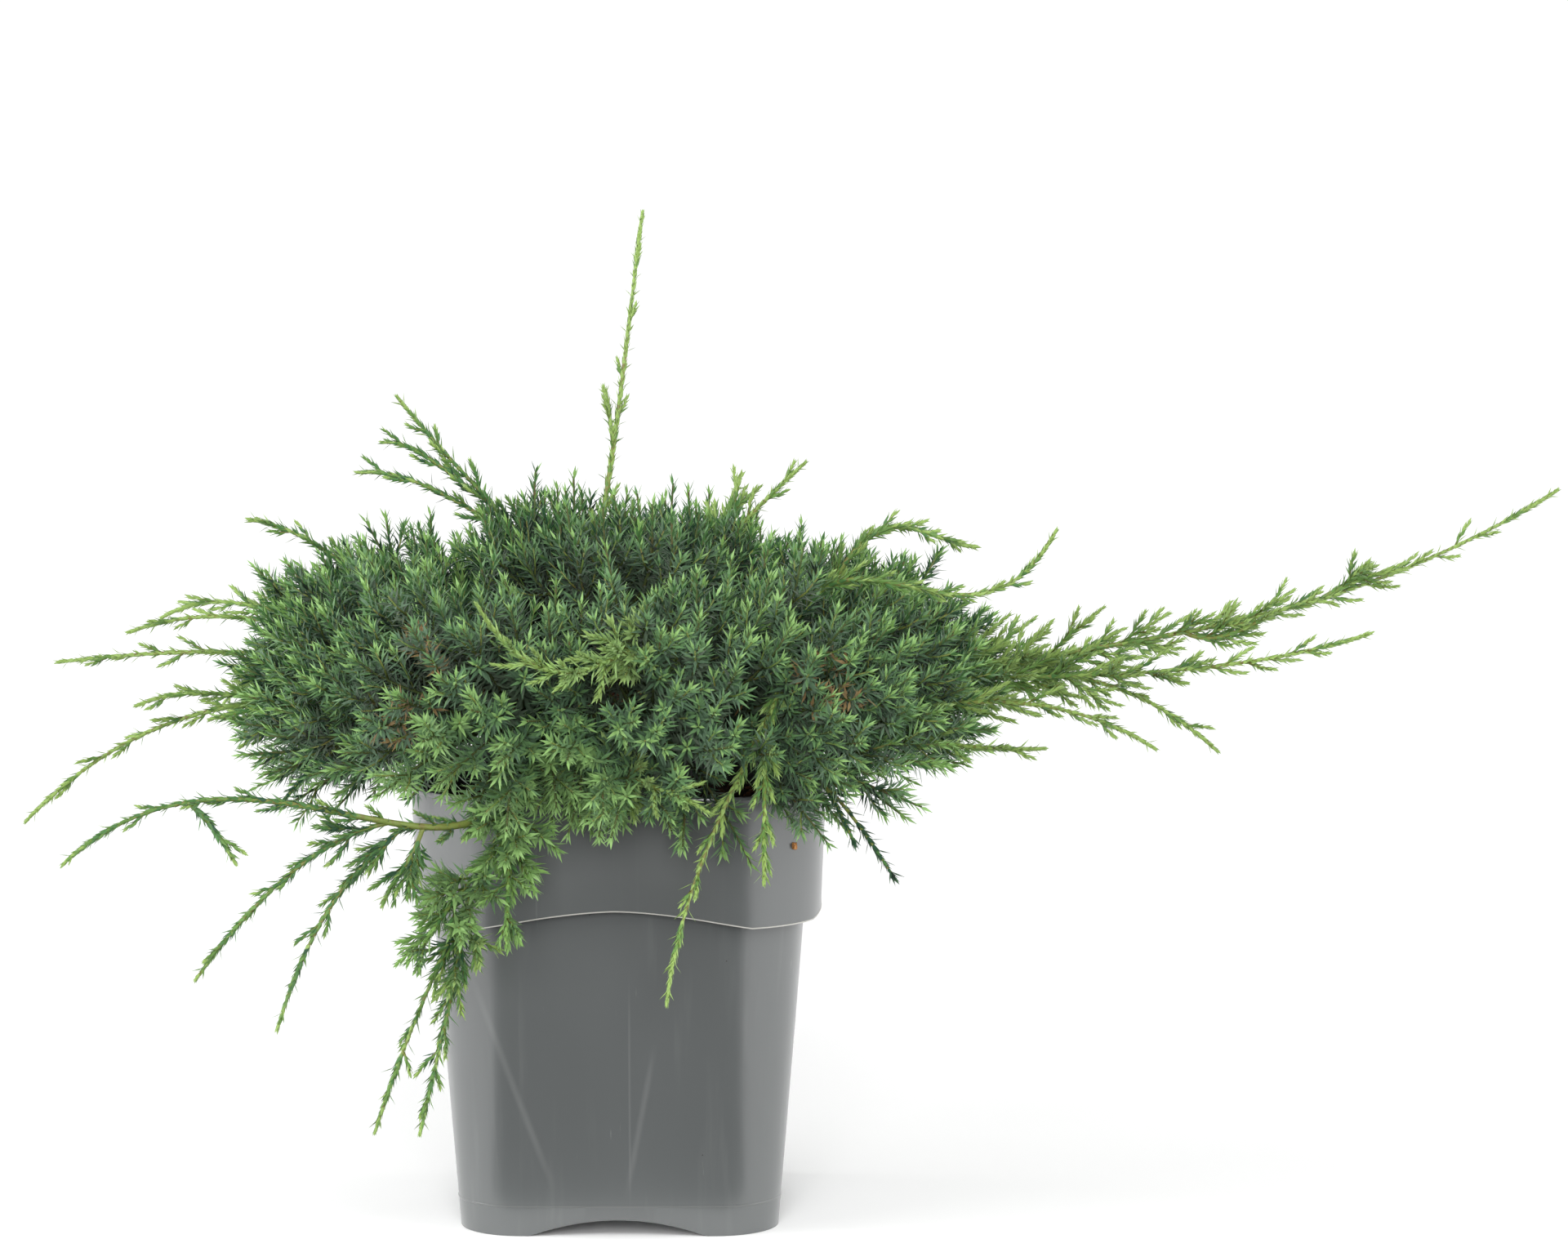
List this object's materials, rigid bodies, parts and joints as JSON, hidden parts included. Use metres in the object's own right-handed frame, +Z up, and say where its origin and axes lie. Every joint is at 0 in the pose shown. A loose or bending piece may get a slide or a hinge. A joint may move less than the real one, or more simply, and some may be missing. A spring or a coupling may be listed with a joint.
{
  "type": "potted blue carpet flaky juniper",
  "caption": "Low spreading juniper with a dense mound of blue-green needle sprays and long arching shoots, in a tapered square nursery pot.",
  "frame": {"origin": "centre of the pot's foot, on the surface that it stands on", "axes": "+Z up the trunk; +X to the right towards the longest shoot; +Y away from the viewer"},
  "size_m": [0.6389, 0.427, 0.418],
  "materials": {
    "pot": "smooth grey moulded polypropylene with faint scuffs",
    "soil": "dark bark compost, matt and crumbly",
    "bark": "reddish-brown flaking bark",
    "needles": "blue-green needles with pale bands and fresh green tips"
  },
  "bodies": {
    "root": {"bough_back": "bark", "bough_back_left": "bark", "bough_back_mid": "bark", "bough_back_right": "bark", "bough_crown_front": "bark", "bough_crown_left": "bark", "bough_crown_right": "bark", "bough_east": "bark", "bough_east_front": "bark", "bough_front": "bark", "bough_left": "bark", "bough_left_back": "bark", "bough_left_front": "bark", "bough_left_low": "bark", "bough_right_back": "bark", "bough_right_front": "bark", "foliage_back": "needles", "foliage_back_left": "needles", "foliage_back_mid": "needles", "foliage_back_right": "needles", "foliage_crown_front": "needles", "foliage_crown_left": "needles", "foliage_crown_right": "needles", "foliage_east": "needles", "foliage_east_front": "needles", "foliage_front": "needles", "foliage_left": "needles", "foliage_left_back": "needles", "foliage_left_front": "needles", "foliage_left_low": "needles", "foliage_right_back": "needles", "foliage_right_front": "needles", "pot": "pot", "soil": "soil", "trunk": "bark"}
  },
  "joints": []
}
